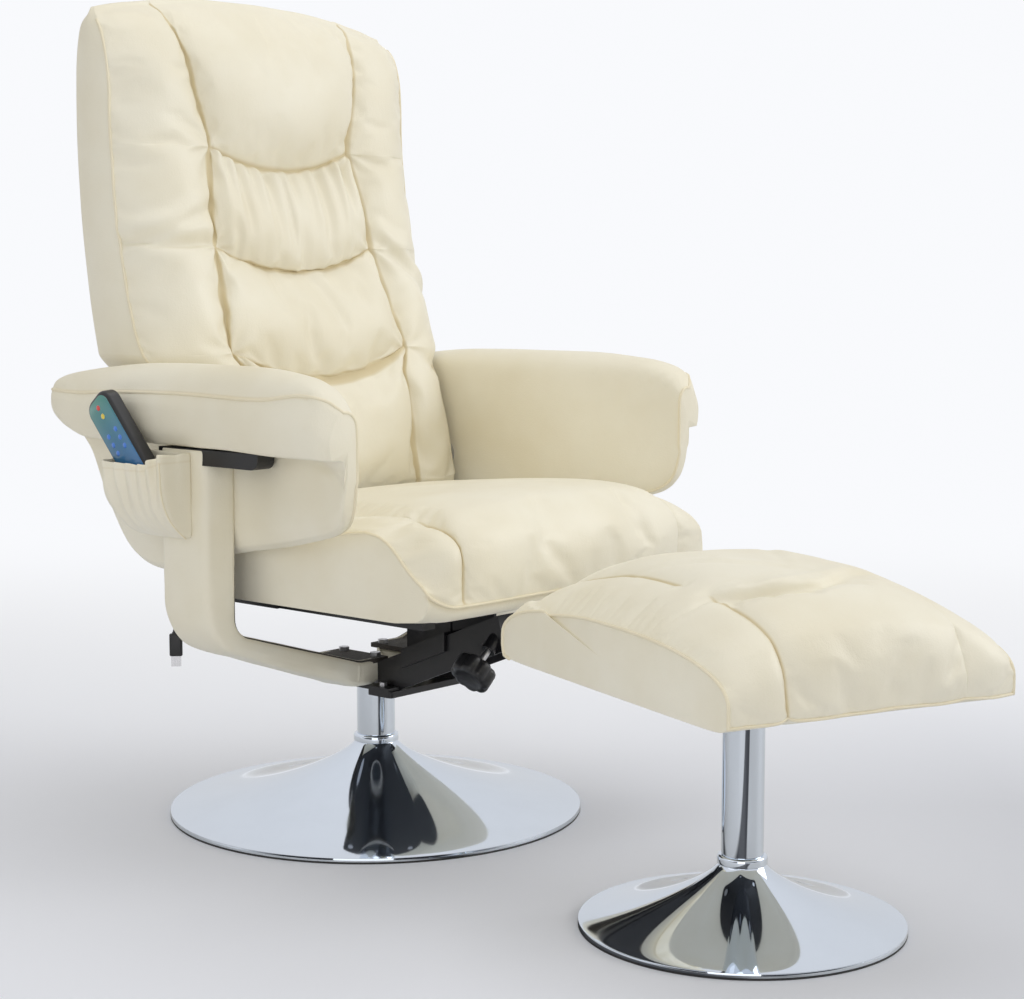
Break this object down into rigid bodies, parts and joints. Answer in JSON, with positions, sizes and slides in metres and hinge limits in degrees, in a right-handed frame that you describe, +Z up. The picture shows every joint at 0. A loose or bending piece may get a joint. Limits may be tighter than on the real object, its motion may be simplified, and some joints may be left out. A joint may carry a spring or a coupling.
{
  "type": "reclining armchair and footstool",
  "caption": "Swivel recliner armchair with upholstered arms, sliding seat, hinged back, massage handset in a side pocket, and a matching footstool on a round base.",
  "frame": {"origin": "chair's swivel axis where it meets the floor", "axes": "+Z up, -Y the way the chair faces, -X the sitter's right"},
  "size_m": [0.725, 1.201, 1.056],
  "materials": {
    "chrome": "mirror polished",
    "base_rubber": "matte",
    "ballast": "matte",
    "black_steel": "satin",
    "steel": "satin",
    "bush_plastic": "matte",
    "frame_steel": "matte",
    "cream_leather": "soft sheen",
    "plywood": "matte",
    "black_plastic": "satin",
    "lead_rubber": "matte",
    "plug_metal": "bright",
    "handset_face": "gloss",
    "circuit_board": "matte",
    "red_button": "gloss",
    "yellow_button": "gloss",
    "blue_button": "gloss"
  },
  "bodies": {
    "base": {"chair_base_shell": "chrome", "chair_base_rim": "base_rubber", "chair_ballast_plate": "ballast", "chair_column": "chrome", "chair_collar": "chrome", "base_screws": "steel", "swivel_bushes": "bush_plastic"},
    "carriage": {"swivel_spindle": "steel", "swivel_plate": "black_steel", "slide_beam": "black_steel", "beam_bolts": "steel", "hub_bolts": "steel", "right_support_core": "frame_steel", "left_support_core": "frame_steel", "right_support_cover": "cream_leather", "left_support_cover": "cream_leather", "right_arm_bracket": "black_steel", "left_arm_bracket": "black_steel", "bracket_bolts": "steel", "right_arm": "cream_leather", "left_arm": "cream_leather", "back_pivot_pins": "steel", "handset_pocket": "cream_leather", "lead_gland": "black_plastic", "power_lead": "lead_rubber", "lead_plug": "black_plastic", "plug_tip": "plug_metal"},
    "knob": {"knob_rod": "steel", "friction_knob": "black_plastic"},
    "seat": {"seat_slider": "black_steel", "seat_rails": "black_steel", "seat_board": "plywood", "seat_cushion": "cream_leather", "seat_motor": "black_plastic", "control_box": "black_plastic"},
    "back": {"back_frame": "black_steel", "hinge_pins": "steel", "back_panel": "plywood", "back_cushion": "cream_leather", "back_motors": "black_plastic"},
    "handset": {"handset_case": "black_plastic", "handset_face": "handset_face", "handset_circuit_board": "circuit_board"},
    "footstool": {"stool_base_shell": "chrome", "stool_base_rim": "base_rubber", "stool_ballast_plate": "ballast", "stool_column": "chrome", "stool_collar": "chrome", "stool_screws": "steel", "stool_top_plate": "black_steel", "stool_board": "plywood", "stool_cushion": "cream_leather"},
    "power_button": {"power_button": "red_button"},
    "heat_button": {"heat_button": "yellow_button"},
    "mode_buttons_left_1": {"mode_buttons_left_1": "blue_button"},
    "mode_buttons_left_2": {"mode_buttons_left_2": "blue_button"},
    "mode_buttons_left_3": {"mode_buttons_left_3": "blue_button"},
    "mode_buttons_right_1": {"mode_buttons_right_1": "blue_button"},
    "mode_buttons_right_2": {"mode_buttons_right_2": "blue_button"},
    "mode_buttons_right_3": {"mode_buttons_right_3": "blue_button"}
  },
  "joints": [
    {"name": "swivel", "type": "hinge", "parent": "base", "child": "carriage", "pos_m": [0, 0, 0.16], "axis": [0, 0, 1], "continuous": true},
    {"name": "recline", "type": "hinge", "parent": "carriage", "child": "back", "pos_m": [0, 0.115, 0.446], "axis": [-1, 0, 0], "range_deg": [0, 30]},
    {"name": "seat_slide", "type": "slide", "parent": "carriage", "child": "seat", "axis": [0, -0.9272, 0.3746], "range_m": [0, 0.0675]},
    {"name": "knob_turn", "type": "hinge", "parent": "carriage", "child": "knob", "pos_m": [-0.05, -0.253, 0.2573], "axis": [-0.7547, 0, -0.6561], "range_deg": [0, 540]},
    {"name": "handset_lift", "type": "slide", "parent": "carriage", "child": "handset", "axis": [-0.0835, 0.6018, 0.7943], "range_m": [0, 0.08]},
    {"name": "power_button_press", "type": "slide", "parent": "handset", "child": "power_button", "axis": [0.9945, 0, 0.1045], "range_m": [0, 0.0008], "stiffness_N_per_m": 1500},
    {"name": "heat_button_press", "type": "slide", "parent": "handset", "child": "heat_button", "axis": [0.9945, 0, 0.1045], "range_m": [0, 0.0008], "stiffness_N_per_m": 1500},
    {"name": "mode_buttons_left_1_press", "type": "slide", "parent": "handset", "child": "mode_buttons_left_1", "axis": [0.9945, 0, 0.1045], "range_m": [0, 0.0008], "stiffness_N_per_m": 1500},
    {"name": "mode_buttons_left_2_press", "type": "slide", "parent": "handset", "child": "mode_buttons_left_2", "axis": [0.9945, 0, 0.1045], "range_m": [0, 0.0008], "stiffness_N_per_m": 1500},
    {"name": "mode_buttons_left_3_press", "type": "slide", "parent": "handset", "child": "mode_buttons_left_3", "axis": [0.9945, 0, 0.1045], "range_m": [0, 0.0008], "stiffness_N_per_m": 1500},
    {"name": "mode_buttons_right_1_press", "type": "slide", "parent": "handset", "child": "mode_buttons_right_1", "axis": [0.9945, 0, 0.1045], "range_m": [0, 0.0008], "stiffness_N_per_m": 1500},
    {"name": "mode_buttons_right_2_press", "type": "slide", "parent": "handset", "child": "mode_buttons_right_2", "axis": [0.9945, 0, 0.1045], "range_m": [0, 0.0008], "stiffness_N_per_m": 1500},
    {"name": "mode_buttons_right_3_press", "type": "slide", "parent": "handset", "child": "mode_buttons_right_3", "axis": [0.9945, 0, 0.1045], "range_m": [0, 0.0008], "stiffness_N_per_m": 1500},
    {"name": "footstool_floor_slide", "type": "slide", "parent": "base", "child": "footstool", "axis": [-0.349, -0.9371, 0], "range_m": [0, 0.3]}
  ],
  "couplings": [
    {"joint": "seat_slide", "follows": "recline", "m_per_rad": 0.1285}
  ]
}
